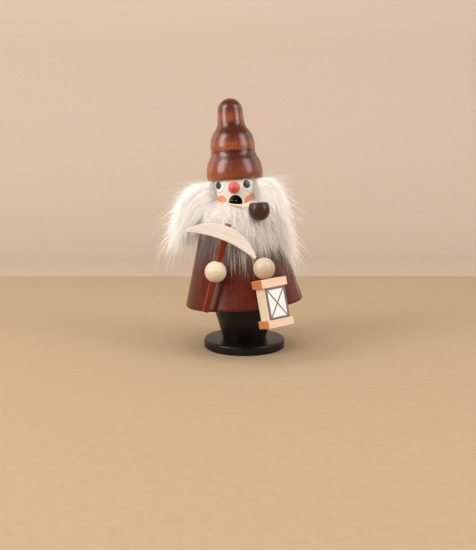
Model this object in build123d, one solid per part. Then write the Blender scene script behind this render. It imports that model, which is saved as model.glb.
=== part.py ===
from build123d import *
import os
from math import cos, hypot, radians, sin, sqrt, tan

# Incense smoker: a turned wooden gnome that lifts off a small stand.
# Millimetres. +Z is up, the gnome faces -Y, and the origin is the centre of the foot's underside.
# The figure is drawn upright in its own frame, whose origin is the centre of the coat's underside,
# and it is seated on the stand with the small lean of the real piece.

# Stand
disc_radius = 24.0
disc_thickness = 5.2
disc_top_round = 1.1
disc_bottom_round = 0.7
legs_foot_radius = 12.7
legs_top_radius = 19.0
seat_height = 26.8
legs_tenon_radius = 8.0
legs_tenon_length = 3.8
spigot_radius = 13.6
spigot_height = 8.0
spigot_lead = 0.8
plate_radius = 10.5
plate_thickness = 0.5
plate_rim_height = 1.6
plate_rim_flare_width = 0.9
tack_head_radius = 1.7
tack_head_height = 0.6
tack_shank_radius = 0.6
tack_length = 6.0

# Lean of the figure on its seat, degrees
side_lean = -4.3
back_lean = -2.5

# Clearances
seat_gap = 0.05
fit_gap = 0.05
spigot_gap = 0.4
soft_gap = 0.3
cut_overrun = 1.0

# Coat
coat_radius = 35.0
coat_height = 54.1
coat_taper = 0.276
coat_hem_round = 1.3
coat_shoulder_round = 8.0
coat_flue_radius = 6.0
coat_flue_length = 5.0
chamber_roof_height = 5.0
neck_radius = 8.0
neck_length = 6.0

# Head
head_radius = 14.0
head_chin_radius = 10.6
head_crown_radius = 13.2
head_height = 21.0
head_flue_radius = 4.6
flue_top_height = 10.2
hat_tenon_radius = 7.0
hat_tenon_length = 7.0
face_turn = -3.1
mouth_radius = 3.85
mouth_height = 5.8
nose_radius = 3.4
nose_height = 13.75
nose_peg_radius = 1.2
nose_peg_length = 3.5

# Hat
hat_radius = 16.45
hat_height = 46.6
hat_brim_height = 18.5
hat_recess_gap = 0.4
hat_tip_share = 0.444
# Outline of the hat below its round tip: share of the hat's radius, share of its height
hat_outline_shares = (
    (0.985, 0.022), (1.0, 0.072), (0.967, 0.170), (0.890, 0.245), (0.832, 0.281), (0.791, 0.318),
    (0.784, 0.350), (0.791, 0.393), (0.772, 0.466), (0.713, 0.541), (0.520, 0.650), (0.479, 0.689),
    (0.467, 0.730), (0.458, 0.780))
hat_edge_share = 0.945

# Hands
hand_radius = 6.0
hand_height = 22.9
hand_right_x = -14.4
hand_left_x = 12.3
hand_stand_off = 0.1
hand_peg_radius = 1.5
hand_peg_in_hand = 3.2
hand_peg_in_coat = 5.0

# Pick
handle_width = 3.0
handle_edge_round = 0.25
handle_below_hand = 22.9
handle_above_hand = 27.3
handle_side_tilt = 19.3
handle_back_tilt = 3.9
handle_twist = 25.0
blade_length = 40.6
blade_rise = 10.4
blade_width = 7.9
blade_tip_width = 1.8
blade_thickness = 5.4
blade_edge_round = 0.4
blade_slope = 26.4
blade_above_hand = 15.3
blade_shift = -0.9

# Lantern
lantern_azimuth = 27.9
lantern_tilt = 8.2
lantern_roll = 2.2
lantern_height = 17.6
lantern_body_width = 13.0
lantern_body_depth = 9.6
lantern_side_overhang = 1.5
lantern_front_overhang = 0.8
lantern_top_thickness = 4.6
lantern_bottom_thickness = 4.2
lantern_edge_chamfer = 0.2
lantern_peg_radius = 1.0
lantern_peg_in_plate = 2.6
lantern_peg_in_hand = 2.4
lantern_shift = 0.4
window_margin = 0.25
window_thickness = 0.3

# Pipe
bowl_radius = 6.0
bowl_height = 10.2
bowl_mouth_share = 0.79
bowl_edge_round = 0.5
bowl_side_offset = 12.1
bowl_front_offset = 10.0
bowl_drop_height = 5.35
bowl_dimple_radius = 3.4
bowl_dimple_depth = 1.2
stem_radius = 0.55
stem_entry_side_share = 0.69
stem_entry_drop_share = 0.36
stem_aim_lift = 0.9
stem_in_head = 4.6
stem_in_bowl = 2.0

# Fur
hide_thickness = 0.8
hide_chin_lift = 0.6
hide_crown_drop = 0.9
face_half_width = 12.2
face_lower_edge = 4.3
face_corner_round = 4.0
beard_half_angle = 56.0
back_half_angle = 74.0
mane_gap_angle = 1.0
beard_top = 4.5
# Levels of the beard and the back fur, as shares of the coat's height
beard_bulge_share = 0.86
beard_mid_share = 0.665
beard_end_share = 0.5
back_bulge_share = 0.96
back_end_share = 0.665
beard_bulge_thickness = 1.8
beard_mid_thickness = 2.5
beard_end_thickness = 1.4
back_bulge_thickness = 4.9
back_crown_thickness = 4.4
# Side manes from crown to tip. The first is a share of the hat's base level, the others are shares of
# the coat's radius: height, middle x, middle y, half width, half depth
mane_right_shares = (
    (0.994, -0.57, 0.03, 0.17, 0.14),
    (0.950, -0.65, 0.00, 0.29, 0.23),
    (0.853, -0.73, -0.01, 0.38, 0.27),
    (0.743, -0.84, -0.04, 0.34, 0.24),
    (0.647, -1.00, -0.07, 0.22, 0.19),
    (0.557, -1.14, -0.09, 0.125, 0.12),
    (0.468, -1.29, -0.09, 0.03, 0.035))
mane_left_shares = (
    (0.991, 0.50, 0.03, 0.14, 0.14),
    (0.936, 0.56, 0.00, 0.23, 0.23),
    (0.840, 0.59, -0.01, 0.26, 0.27),
    (0.702, 0.63, -0.04, 0.26, 0.27),
    (0.551, 0.76, -0.07, 0.18, 0.23),
    (0.413, 0.87, -0.09, 0.11, 0.16),
    (0.275, 0.99, -0.09, 0.03, 0.04))

# Worked out from the sizes above
chamber_radius = spigot_radius + spigot_gap
neck_socket_floor = coat_height - neck_length - fit_gap
chamber_roof = neck_socket_floor - coat_flue_length
head_base = coat_height + fit_gap
head_top = head_base + head_height
mouth_z = head_base + mouth_height
nose_z = head_base + nose_height
hat_base = head_base + hat_brim_height
hat_recess_radius = head_radius + hat_recess_gap
lantern_plate_width = lantern_body_width + 2 * lantern_side_overhang
lantern_plate_depth = lantern_body_depth + 2 * lantern_front_overhang
bowl_middle = Vector(bowl_side_offset, -head_radius - bowl_front_offset, mouth_z - bowl_drop_height)
stem_entry = Vector(
    -mouth_radius * stem_entry_side_share, -head_radius, mouth_z - mouth_radius * stem_entry_drop_share)
figure_seat = Location((0, 0, seat_height), (back_lean, side_lean, 0))


def coat_surface(height, grow=0.0):
    """Radius of the coat's cone at a height, or of the cone that stands off it by grow."""
    return coat_radius - coat_taper * height + grow * hypot(1, coat_taper)


def turned(points):
    """A turned solid from an outline of straight lines in the half plane x > 0."""
    return revolve(Plane.XZ * make_face(Polyline(points, close=True)), Axis.Z)


def rod(radius, start, end):
    """A round rod between two points."""
    way = end - start
    return extrude(Plane(start, z_dir=way) * Circle(radius), way.length)


# Stand

def base_disc():
    disc = Pos(0, 0, disc_thickness / 2) * Cylinder(disc_radius, disc_thickness)
    disc = fillet(disc.edges().group_by(Axis.Z)[-1], disc_top_round)
    disc = fillet(disc.edges().group_by(Axis.Z)[0], disc_bottom_round)
    hole_depth = legs_tenon_length + fit_gap
    hole_floor = disc_thickness - hole_depth
    hole = Pos(0, 0, hole_floor + (hole_depth + cut_overrun) / 2) * Cylinder(
        legs_tenon_radius + fit_gap, hole_depth + cut_overrun)
    return disc - hole


def legs():
    widening = (legs_top_radius - legs_foot_radius) / (seat_height - disc_thickness)
    reach = legs_top_radius
    cone = turned([
        (0, disc_thickness), (legs_foot_radius, disc_thickness),
        (legs_foot_radius + widening * (seat_height + reach - disc_thickness), seat_height + reach),
        (0, seat_height + reach)])
    above_seat = figure_seat * Pos(0, 0, reach) * Box(4 * reach, 4 * reach, 2 * reach)
    body = cone - above_seat
    tenon = Pos(0, 0, disc_thickness - legs_tenon_length / 2) * Cylinder(legs_tenon_radius, legs_tenon_length)
    root = legs_foot_radius / 2
    spigot_length = spigot_height + root
    spigot = Pos(0, 0, spigot_height - spigot_length / 2) * Cylinder(spigot_radius, spigot_length)
    spigot = chamfer(spigot.edges().group_by(Axis.Z)[-1], spigot_lead)
    tack_hole = rod(tack_shank_radius + fit_gap, Vector(0, 0, spigot_height - tack_length),
                    Vector(0, 0, spigot_height + cut_overrun))
    return body + tenon + figure_seat * spigot - figure_seat * tack_hole


def incense_plate():
    outer = plate_radius + plate_rim_flare_width
    dish = turned([
        (tack_shank_radius + fit_gap, 0), (plate_radius, 0), (outer, plate_rim_height),
        (outer - plate_thickness, plate_rim_height), (plate_radius - plate_thickness, plate_thickness),
        (tack_shank_radius + fit_gap, plate_thickness)])
    return figure_seat * Pos(0, 0, spigot_height) * dish


def plate_tack():
    head = turned([
        (0, 0), (tack_head_radius, 0), (tack_head_radius, tack_head_height / 3),
        (tack_head_radius / 2, tack_head_height), (0, tack_head_height)])
    shank_length = tack_length - tack_head_height
    shank = Pos(0, 0, -shank_length / 2) * Cylinder(tack_shank_radius, shank_length)
    return figure_seat * Pos(0, 0, spigot_height + plate_thickness) * (head + shank)


# Turned body

def coat_cone(grow=0.0):
    """The outside of the coat, or the same shape standing off it by grow."""
    cone = Pos(0, 0, coat_height / 2) * Cone(
        coat_surface(0, grow), coat_surface(coat_height, grow), coat_height + 2 * grow)
    cone = fillet(cone.edges().group_by(Axis.Z)[-1], coat_shoulder_round)
    return fillet(cone.edges().group_by(Axis.Z)[0], coat_hem_round)


def coat():
    socket_radius = neck_radius + fit_gap
    hollow = turned([
        (0, -cut_overrun), (chamber_radius, -cut_overrun),
        (chamber_radius, chamber_roof - chamber_roof_height), (coat_flue_radius, chamber_roof),
        (coat_flue_radius, neck_socket_floor), (socket_radius, neck_socket_floor),
        (socket_radius, coat_height + cut_overrun), (0, coat_height + cut_overrun)])
    shell = coat_cone() - hollow
    for side in (hand_right_x, hand_left_x):
        shell -= hand_peg(side, fit_gap)
    return shell


def head_ball(grow=0.0):
    """The outside of the head, or the same shape standing off it by grow."""
    belly = head_base + head_height / 2
    side = ThreePointArc(
        (head_chin_radius + grow, head_base), (head_radius + grow, belly),
        (head_crown_radius + grow, head_top))
    ends = Polyline((head_crown_radius + grow, head_top), (0, head_top), (0, head_base),
                    (head_chin_radius + grow, head_base))
    return revolve(Plane.XZ * make_face([side, ends]), Axis.Z)


def face_point(azimuth, height, distance):
    """A point at a distance from the axis, turned from the front of the face."""
    turn = radians(azimuth + face_turn)
    return Vector(distance * sin(turn), -distance * cos(turn), height)


def head():
    neck = Pos(0, 0, head_base - neck_length / 2) * Cylinder(neck_radius, neck_length)
    tenon = Pos(0, 0, head_top + hat_tenon_length / 2) * Cylinder(hat_tenon_radius, hat_tenon_length)
    flue = rod(head_flue_radius, Vector(0, 0, head_base - neck_length - cut_overrun),
               Vector(0, 0, head_base + flue_top_height))
    mouth = rod(mouth_radius, Vector(0, 0, mouth_z), face_point(0, mouth_z, head_radius + cut_overrun))
    ball = head_ball() + neck + tenon - flue - mouth
    return ball - nose_peg(fit_gap) - pipe_stem(fit_gap)


def nose_peg(grow=0.0):
    """The peg of the nose, or its hole with grow all round."""
    return rod(nose_peg_radius + grow, face_point(0, nose_z, head_radius - nose_peg_length - grow),
               face_point(0, nose_z, head_radius + nose_radius))


def nose():
    seat_depth = nose_radius / 8
    middle = face_point(0, nose_z, head_radius + nose_radius - seat_depth)
    ball = Pos(middle) * Sphere(nose_radius) - head_ball(fit_gap)
    return ball + nose_peg()


def hat():
    outline = [(hat_radius * wide, hat_base + hat_height * high) for wide, high in hat_outline_shares]
    top = hat_base + hat_height
    hat_tip_radius = hat_radius * hat_tip_share
    outline.append((hat_tip_radius, top - hat_tip_radius))
    edge = (hat_radius * hat_edge_share, hat_base)
    crown = Spline(outline)
    tip = CenterArc((0, top - hat_tip_radius), hat_tip_radius, 0, 90)
    lip = Line(edge, outline[0])
    ends = Polyline((0, top), (0, hat_base), edge)
    body = revolve(Plane.XZ * make_face([crown, tip, lip, ends]), Axis.Z)
    recess = head_top + fit_gap
    socket_radius = hat_tenon_radius + fit_gap
    socket_top = recess + hat_tenon_length + fit_gap
    hollow = turned([
        (0, hat_base - cut_overrun), (hat_recess_radius, hat_base - cut_overrun), (hat_recess_radius, recess),
        (socket_radius, recess), (socket_radius, socket_top), (0, socket_top)])
    return body - hollow


# Hands

def hand_middle(side):
    """Centre of a hand ball that touches the coat's cone at a given x."""
    away = coat_surface(hand_height, hand_radius + hand_stand_off)
    return Vector(side, -sqrt(away**2 - side**2), hand_height)


def coat_normal(point):
    """Outward direction of the coat's cone beside a point."""
    around = hypot(point.X, point.Y)
    return Vector(point.X / around, point.Y / around, coat_taper).normalized()


def hand_peg(side, grow=0.0):
    """A dowel from a hand into the coat, or its hole with grow all round."""
    middle = hand_middle(side)
    out = coat_normal(middle)
    inner = middle - out * (hand_radius + hand_peg_in_coat + grow)
    outer = middle - out * (hand_radius - hand_peg_in_hand - grow)
    return rod(hand_peg_radius + grow, inner, outer)


def hand_ball(side, grow=0.0):
    """A hand, its poles to the left and right, or the same ball standing off it by grow."""
    return Pos(hand_middle(side)) * Rot(0, 90, 0) * Rot(0, 0, -90) * Sphere(hand_radius + grow)


def hand_right():
    return hand_ball(hand_right_x) - hand_peg(hand_right_x, fit_gap) - pick_handle(fit_gap)


def hand_left():
    return hand_ball(hand_left_x) - hand_peg(hand_left_x, fit_gap) - lantern_peg(fit_gap)


# Pick

def handle_way():
    """Direction of the handle, from its lower end to its upper end."""
    sideways = sin(radians(handle_side_tilt))
    upwards = cos(radians(handle_side_tilt))
    return Vector(sideways, upwards * tan(radians(handle_back_tilt)), upwards).normalized()


def pick_handle(grow=0.0):
    """The square stick, or its hole with grow all round."""
    way = handle_way()
    foot = hand_middle(hand_right_x) - way * handle_below_hand
    length = handle_below_hand + handle_above_hand
    section = Rot(0, 0, handle_twist) * RectangleRounded(
        handle_width + 2 * grow, handle_width + 2 * grow, handle_edge_round)
    return extrude(Plane(foot, x_dir=(1, 0, 0), z_dir=way) * section, length)


def blade_plane():
    """Plane of the blade: its x runs along the chord, and its y points up and away from it."""
    chord = Vector(cos(radians(blade_slope)), 0, -sin(radians(blade_slope)))
    front = chord.cross(handle_way()).normalized()
    middle = hand_middle(hand_right_x) + handle_way() * blade_above_hand + chord * blade_shift
    return Plane(middle, x_dir=chord, z_dir=front)


def blade_blank(grow=0.0):
    """The crescent without its hole, or the same shape standing off it by grow."""
    half_length = blade_length / 2
    half_tip = blade_tip_width / 2
    back = ThreePointArc((-half_length, half_tip), (0, blade_rise), (half_length, half_tip))
    edge = ThreePointArc((half_length, -half_tip), (0, blade_rise - blade_width), (-half_length, -half_tip))
    face = make_face([back, Line(back @ 1, edge @ 0), edge, Line(edge @ 1, back @ 0)])
    if grow:
        face = offset(face, grow)
    return extrude(blade_plane() * face, blade_thickness / 2 + grow, both=True)


def pick_blade():
    blank = blade_blank()
    blank = fillet(blank.edges(), blade_edge_round)
    return blank - pick_handle(fit_gap)


# Lantern

def lantern_plane():
    """Plane at the lantern's middle: x along its width, y back to the coat, z up its height.

    It hangs under the left hand, and its back just clears the coat's hem.
    """
    azimuth = radians(lantern_azimuth)
    tilt = radians(lantern_tilt)
    roll = radians(lantern_roll)
    out = Vector(sin(azimuth) * cos(tilt), -cos(azimuth) * cos(tilt), sin(tilt))
    level = Vector(cos(azimuth), sin(azimuth), 0)
    upright = level.cross(out) * -1
    up = upright * cos(roll) - level * sin(roll)
    across = level * cos(roll) + upright * sin(roll)
    hung = hand_radius + fit_gap + lantern_top_thickness + lantern_height / 2
    middle = hand_middle(hand_left_x) - up * hung + across * lantern_shift
    stand_off = coat_surface(0) * cos(tilt) + soft_gap + lantern_body_depth / 2
    middle += out * (stand_off - middle.dot(out))
    return Plane(middle, x_dir=across, z_dir=up)


def lantern_block(width, depth, height, middle):
    block = Box(width, depth, height)
    block = chamfer(block.edges(), lantern_edge_chamfer)
    return lantern_plane() * Pos(0, 0, middle) * block


def lantern_body():
    return lantern_block(lantern_body_width, lantern_body_depth, lantern_height, 0)


def lantern_top():
    middle = (lantern_height + lantern_top_thickness) / 2
    plate = lantern_block(lantern_plate_width, lantern_plate_depth, lantern_top_thickness, middle)
    return plate - lantern_peg(fit_gap)


def lantern_bottom():
    middle = -(lantern_height + lantern_bottom_thickness) / 2
    return lantern_block(lantern_plate_width, lantern_plate_depth, lantern_bottom_thickness, middle)


def lantern_window():
    front = -lantern_body_depth / 2 - window_thickness / 2
    panel = Box(lantern_body_width - 2 * window_margin, window_thickness, lantern_height - 2 * window_margin)
    return lantern_plane() * Pos(0, front, 0) * panel


def lantern_peg(grow=0.0):
    """The dowel from the left hand down into the lantern, or its hole with grow all round."""
    up = lantern_plane().z_dir
    top = hand_middle(hand_left_x) - up * (hand_radius - lantern_peg_in_hand - grow)
    bottom = hand_middle(hand_left_x) - up * (hand_radius + fit_gap + lantern_peg_in_plate + grow)
    return rod(lantern_peg_radius + grow, bottom, top)


# Pipe

def pipe_bowl():
    shoulder = bowl_height - bowl_radius
    mouth = bowl_radius * bowl_mouth_share
    belly = CenterArc((0, 0), bowl_radius, 270, 90)
    side = ThreePointArc((bowl_radius, 0), ((5 * bowl_radius + mouth) / 6, shoulder / 2), (mouth, shoulder))
    ends = Polyline((mouth, shoulder), (0, shoulder), (0, -bowl_radius))
    bowl = revolve(Plane.XZ * make_face([belly, side, ends]), Axis.Z)
    bowl = fillet(bowl.edges().group_by(Axis.Z)[-1], bowl_edge_round)
    dimple = Pos(0, 0, shoulder - bowl_dimple_depth / 2) * Cylinder(bowl_dimple_radius, bowl_dimple_depth)
    return Pos(bowl_middle) * (bowl - dimple) - pipe_stem(fit_gap)


def pipe_stem(grow=0.0):
    """The stick between the mouth and the bowl, or its hole with grow all round."""
    aim = bowl_middle + Vector(0, 0, stem_aim_lift)
    way = (aim - stem_entry).normalized()
    outer = aim - way * (bowl_radius - stem_in_bowl - grow)
    return rod(stem_radius + grow, stem_entry - way * (stem_in_head + grow), outer)


# Fur

def face_window():
    """The part of the head's front that the fur strip leaves bare."""
    opening = RectangleRounded(2 * face_half_width, head_height, face_corner_round)
    middle = head_base + face_lower_edge + head_height / 2
    across = face_point(90, 0, 1)
    front = Plane((0, 0, middle), x_dir=across, z_dir=face_point(0, 0, 1))
    return extrude(front * opening, 2 * head_radius)


def fur_hide():
    """Leather of the fur strip, bent round the head, its lower edge under the mouth."""
    outside = head_ball(fit_gap + hide_thickness)
    low = head_base + hide_chin_lift
    high = hat_base - hide_crown_drop
    band = Pos(0, 0, (low + high) / 2) * Cylinder(2 * head_radius, high - low)
    return (outside - head_ball(fit_gap)) & band - face_window()


def sector(half_angle, middle_azimuth):
    """A wedge about the axis that reaches past the fur, its middle turned from the front."""
    far = 3 * coat_radius
    edge = radians(half_angle)
    wedge = make_face(Polyline(
        (0, 0), (-far * sin(edge), -far * cos(edge)), (0, -far / cos(edge / 2)),
        (far * sin(edge), -far * cos(edge)), close=True))
    return Rot(0, 0, middle_azimuth) * extrude(wedge, 2 * coat_height)


def fur_ring(outline):
    """A turned blank whose inner side follows the head and the coat."""
    return turned(outline) - coat_cone(soft_gap) - head_ball(hide_thickness + soft_gap)


def in_front_of_fur(grow):
    """What the beard has to stay clear of."""
    solids = [blade_blank(grow), pick_handle(grow), pipe_stem(grow)]
    solids += [hand_ball(side, grow) for side in (hand_right_x, hand_left_x)]
    solids.append(Pos(bowl_middle) * Sphere(bowl_radius + grow))
    return solids


def over_coat(share, thickness):
    """A point of a fur outline: radius over the coat, and level as a share of the coat's height."""
    level = coat_height * share
    return (coat_surface(level, soft_gap + thickness), level)


def fur_beard():
    top = head_base + beard_top
    inner = head_radius / 2
    blank = fur_ring([
        (inner, coat_height * beard_end_share), over_coat(beard_end_share, beard_end_thickness),
        over_coat(beard_mid_share, beard_mid_thickness), over_coat(beard_bulge_share, beard_bulge_thickness),
        (head_radius + hide_thickness + soft_gap + beard_end_thickness, top), (inner, top)])
    beard = blank & sector(beard_half_angle, 0)
    for solid in in_front_of_fur(soft_gap):
        beard -= solid
    return beard


def fur_back():
    top = hat_base - hide_crown_drop
    inner = head_radius / 2
    blank = fur_ring([
        (inner, coat_height * back_end_share), over_coat(back_end_share, beard_end_thickness),
        over_coat(back_bulge_share, back_bulge_thickness),
        (head_radius + hide_thickness + soft_gap + back_crown_thickness, top), (inner, top)])
    return blank & sector(back_half_angle, 180)


def mane(sections):
    """A side lock: a loft through level ellipses, cut clear of the coat, head, blade and back fur."""
    ellipses = [
        Pos(coat_radius * x, coat_radius * y, hat_base * z) * Ellipse(coat_radius * wide, coat_radius * deep)
        for z, x, y, wide, deep in sections]
    lock = loft(ellipses)
    lock -= coat_cone(soft_gap)
    lock -= head_ball(hide_thickness + soft_gap)
    lock -= sector(back_half_angle + mane_gap_angle, 180)
    return lock - blade_blank(soft_gap)


def fur_side_right():
    return mane(mane_right_shares)


def fur_side_left():
    return mane(mane_left_shares)


stand_parts = (base_disc, legs, incense_plate, plate_tack)
figure_parts = (
    coat, head, nose, hat, hand_right, hand_left, pick_handle, pick_blade, lantern_top, lantern_body,
    lantern_bottom, lantern_window, lantern_peg, pipe_bowl, pipe_stem, fur_hide, fur_beard, fur_back,
    fur_side_right, fur_side_left)
lift = Pos(0, 0, seat_gap)

os.makedirs("parts", exist_ok=True)
for make in stand_parts:
    export_step(make(), f"parts/{make.__name__}.step")
for make in figure_parts:
    export_step(figure_seat * lift * make(), f"parts/{make.__name__}.step")
for name, side in (("hand_peg_right", hand_right_x), ("hand_peg_left", hand_left_x)):
    export_step(figure_seat * lift * hand_peg(side), f"parts/{name}.step")
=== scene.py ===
import math

import bpy
import numpy as np
from mathutils import Matrix, Vector


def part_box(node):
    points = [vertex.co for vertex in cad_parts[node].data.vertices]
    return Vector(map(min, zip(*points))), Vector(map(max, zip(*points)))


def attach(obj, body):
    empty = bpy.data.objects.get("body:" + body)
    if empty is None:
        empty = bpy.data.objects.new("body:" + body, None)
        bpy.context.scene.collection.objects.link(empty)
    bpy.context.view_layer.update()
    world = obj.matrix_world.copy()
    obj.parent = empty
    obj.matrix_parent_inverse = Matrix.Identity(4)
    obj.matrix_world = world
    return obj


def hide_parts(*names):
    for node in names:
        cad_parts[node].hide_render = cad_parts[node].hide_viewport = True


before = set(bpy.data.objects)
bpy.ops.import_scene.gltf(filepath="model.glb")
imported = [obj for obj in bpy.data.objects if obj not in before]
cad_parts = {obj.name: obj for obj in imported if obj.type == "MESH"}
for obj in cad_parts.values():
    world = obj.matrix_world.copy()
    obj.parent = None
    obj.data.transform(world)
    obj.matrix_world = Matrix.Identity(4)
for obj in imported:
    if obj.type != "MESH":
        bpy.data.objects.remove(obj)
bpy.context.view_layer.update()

# Lengths below are in millimetres of the figure's own frame, whose origin is the centre of the coat's
# underside. placed() carries them into the shared frame, in metres.
mm = 0.001
side_lean = -4.3
back_lean = -2.5
seat_height = 26.85
lean = np.array(Matrix.Rotation(math.radians(back_lean), 3, "X")
                @ Matrix.Rotation(math.radians(side_lean), 3, "Y"))
seat = np.array((0, 0, seat_height)) * mm
chance = np.random.default_rng(24)

# Coat, head and hat
coat_radius = 35.0
coat_height = 54.1
coat_taper = 0.276
coat_shoulder_round = 8.0
head_base = 54.15
head_height = 21.0
head_radius = 14.0
head_chin_radius = 10.6
head_crown_radius = 13.2
face_turn = -3.1
mouth_height = 59.95
mouth_radius = 3.85
nose_height = 67.9
hat_base = 72.65
hat_height = 46.6
hat_radius = 16.45

# Hands, pick and pipe
hand_radius = 6.0
hand_right = np.array((-14.4, -31.909, 22.9))
hand_left = np.array((12.3, -32.776, 22.9))
handle_side_tilt = 19.3
handle_back_tilt = 3.9
handle_width = 3.0
blade_slope = 26.4
blade_above_hand = 15.3
blade_shift = -0.9
blade_length = 40.6
blade_rise = 10.4
blade_width = 7.9
blade_thickness = 5.4
bowl_radius = 6.0
bowl_height = 10.2
bowl_middle = np.array((12.1, -24.0, 54.6))

# Lantern
lantern_azimuth = 27.9
lantern_tilt = 8.2
lantern_roll = 2.2
lantern_height = 17.6
lantern_body_width = 13.0
lantern_plate_width = 16.0
window_margin = 0.25

# Hair: the points along a long and a short one, and the height of its ridge for its width
long_rings = 7
short_rings = 6
ridge_share = 0.4

# The width from which stray hair is drawn in: its middle, its half and how softly
reach_middle = 5.0
reach_half = 42.0
reach_soft = 6.0

# Gaps kept over the coat by each kind of hair
skin_gap = 0.15
mane_gap = 0.35
collar_gap = 0.2
edge_gap = 0.3
mouth_gap = 0.1

# Gaps kept between hair and the other hard parts
brim_gap = 0.4
head_gap = 0.25
hat_gap = 0.25
blade_gap = 0.25
handle_gap = 0.2
hand_gap = 0.2
bowl_gap = 0.3

# Camera and light
camera_lens = 47.98
camera_pitch = 9.45
camera_place = (-0.00378, -0.429, 0.1145)
light_target = 0.075
room_colour = (1.0, 0.96, 0.92, 1)
room_strength = 0.36


def placed(points):
    """Turns points by the figure's lean, then lifts them to its seat."""
    return points @ lean.T * mm + seat


def unit(vectors):
    """The same directions, one long."""
    return vectors / np.linalg.norm(vectors, axis=-1, keepdims=True)


def smooth(low, high, values):
    """Nought below low, one above high, and 3 t squared less 2 t cubed between them."""
    t = np.clip((values - low) / (high - low), 0, 1)
    return t * t * (3 - 2 * t)


# Frames of the tilted parts: each matrix holds the part's three directions as its columns

def turned_axes(x, y, z):
    """A matrix from three directions."""
    return np.array((x, y, z)).T


def handle_direction():
    """The stick's direction, from its lower end to its upper end."""
    tilt = math.radians(handle_side_tilt)
    back = math.tan(math.radians(handle_back_tilt))
    return unit(np.array((math.sin(tilt), math.cos(tilt) * back, math.cos(tilt))))


def blade_axes():
    """The blade's directions: along its chord, up and away from it, and out of its front."""
    slope = math.radians(blade_slope)
    chord = np.array((math.cos(slope), 0, -math.sin(slope)))
    front = unit(np.cross(chord, handle_direction()))
    return turned_axes(chord, np.cross(front, chord), front)


def lantern_axes():
    """The lantern's directions: along its width, back to the coat, and up its height."""
    azimuth, tilt, roll = (math.radians(a) for a in (lantern_azimuth, lantern_tilt, lantern_roll))
    out = np.array((math.sin(azimuth) * math.cos(tilt), -math.cos(azimuth) * math.cos(tilt), math.sin(tilt)))
    level = np.array((math.cos(azimuth), math.sin(azimuth), 0))
    upright = -np.cross(level, out)
    up = upright * math.cos(roll) - level * math.sin(roll)
    across = level * math.cos(roll) + upright * math.sin(roll)
    return turned_axes(across, np.cross(up, across), up)


blade_middle = hand_right + handle_direction() * blade_above_hand + blade_axes()[:, 0] * blade_shift


def node_middle(name):
    """Centre of a node's box, in metres."""
    low, high = (np.array(corner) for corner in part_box(name))
    return (low + high) / 2


# Meshes

def build(name, points, quads, triangles, material, replaces=(), uv=None, smooth_shade=True):
    """Puts arrays of points, in the figure's own frame, and of faces into an object that rides on it."""
    points = placed(points)
    mesh = bpy.data.meshes.new(name)
    mesh.vertices.add(len(points))
    mesh.vertices.foreach_set("co", points.astype(np.float32).ravel())
    corners = np.concatenate([quads.ravel(), triangles.ravel()]).astype(np.int32)
    starts = np.concatenate([np.arange(len(quads)) * 4, len(quads) * 4 + np.arange(len(triangles)) * 3])
    mesh.loops.add(len(corners))
    mesh.loops.foreach_set("vertex_index", corners)
    mesh.polygons.add(len(starts))
    mesh.polygons.foreach_set("loop_start", starts.astype(np.int32))
    mesh.polygons.foreach_set("use_smooth", np.full(len(starts), smooth_shade))
    if uv is not None:
        layer = mesh.uv_layers.new(name="along")
        layer.data.foreach_set("uv", uv[corners].astype(np.float32).ravel())
    mesh.update(calc_edges=True)
    mesh.validate()
    piece = bpy.data.objects.new(name, mesh)
    bpy.context.scene.collection.objects.link(piece)
    mesh.materials.append(material)
    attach(piece, "figure")
    if replaces:
        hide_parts(*replaces)
    return piece


def tube_faces(rows, columns):
    """Quads between rings of points, and the fans that shut both ends on a pole each, added last."""
    row, column = np.meshgrid(np.arange(rows - 1), np.arange(columns), indexing="ij")
    after = (column + 1) % columns
    quads = np.stack([row * columns + column, row * columns + after, (row + 1) * columns + after,
                      (row + 1) * columns + column], axis=-1).reshape(-1, 4)
    here, ahead = column[0], after[0]
    pole = np.full(columns, rows * columns)
    last = (rows - 1) * columns
    ends = [np.stack([pole, ahead, here], axis=-1), np.stack([pole + 1, last + here, last + ahead], axis=-1)]
    return quads, np.concatenate(ends)


# Surfaces that the fur and the paint follow

def arc_through(low, middle, high):
    """Centre and radius of the circle through three points of a half section."""
    (ax, az), (bx, bz), (cx, cz) = low, middle, high
    turn = 2 * (ax * (bz - cz) + bx * (cz - az) + cx * (az - bz))
    a, b, c = ax * ax + az * az, bx * bx + bz * bz, cx * cx + cz * cz
    x = (a * (bz - cz) + b * (cz - az) + c * (az - bz)) / turn
    z = (a * (cx - bx) + b * (ax - cx) + c * (bx - ax)) / turn
    return x, z, math.hypot(ax - x, az - z)


head_arc = arc_through((head_chin_radius, head_base), (head_radius, head_base + head_height / 2),
                       (head_crown_radius, head_base + head_height))


def head_surface(height):
    """Radius of the head: its side is an arc through chin, belly and crown."""
    x, z, radius = head_arc
    return x + np.sqrt(np.maximum(radius * radius - (height - z) ** 2, 0))


def coat_surface(height):
    """Radius of the coat: a cone whose shoulder is rounded by a quarter circle."""
    shoulder = coat_height - coat_shoulder_round
    cone = coat_radius - coat_taper * height
    rise = np.clip(height - shoulder, 0, coat_shoulder_round)
    top = coat_radius - coat_taper * shoulder - coat_shoulder_round
    rounded = top + np.sqrt(coat_shoulder_round**2 - rise**2)
    return np.where(height < shoulder, cone, np.where(height < coat_height, rounded, 0))


def from_axis(azimuth, radius, height):
    """Points from an azimuth that is nought in front and grows to the gnome's left, a radius and a height."""
    return np.stack([radius * np.sin(azimuth), -radius * np.cos(azimuth), height], axis=-1)


def on_head(azimuth, height, lift):
    """Points at an azimuth and a height, lifted off the head's surface."""
    return from_axis(azimuth, head_surface(height) + lift, height)


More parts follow.
